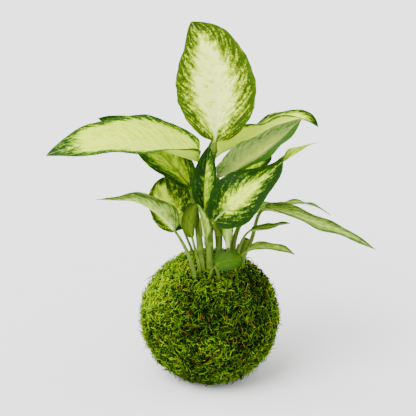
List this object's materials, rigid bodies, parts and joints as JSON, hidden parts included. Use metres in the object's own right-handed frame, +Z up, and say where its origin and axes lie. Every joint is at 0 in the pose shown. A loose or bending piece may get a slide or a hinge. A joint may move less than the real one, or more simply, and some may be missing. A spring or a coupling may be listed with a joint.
{
  "type": "kokedama moss ball plant",
  "caption": "Kokedama: a young variegated dumb cane with cream and green leaves, growing out of a round ball of living moss.",
  "frame": {"origin": "middle of the small flat spot under the moss ball, on the surface it rests on", "axes": "+Z up through the ball to the plant, -Y towards the front of the plant, +X to its right as seen from the front"},
  "size_m": [0.3225, 0.138, 0.3614],
  "materials": {
    "moss": "matte",
    "soil": "matte",
    "stalk": "satin",
    "scar": "matte",
    "leaf_cream": "satin",
    "leaf_green": "satin",
    "leaf_grey": "satin"
  },
  "bodies": {
    "root": {"root_ball": "soil", "moss_wrap": "moss", "cane_main": "stalk", "cane_side": "stalk", "cane_cut": "scar", "cane_cut_short": "scar", "shoot_new": "stalk", "leaf_top": "leaf_cream", "leaf_left_big": "leaf_cream", "leaf_left_back": "leaf_green", "leaf_left_round": "leaf_cream", "leaf_left_low": "leaf_grey", "leaf_olive": "leaf_green", "leaf_centre": "leaf_green", "leaf_centre_low": "leaf_green", "leaf_sheath": "stalk", "leaf_right_front": "leaf_cream", "leaf_right_grey": "leaf_grey", "leaf_right_back": "leaf_cream", "leaf_right_hidden": "leaf_green", "leaf_right_long": "leaf_green", "leaf_right_wavy": "leaf_green", "leaf_right_small": "leaf_green", "leaf_right_low": "leaf_green", "leaf_front_small": "leaf_green"}
  },
  "joints": []
}
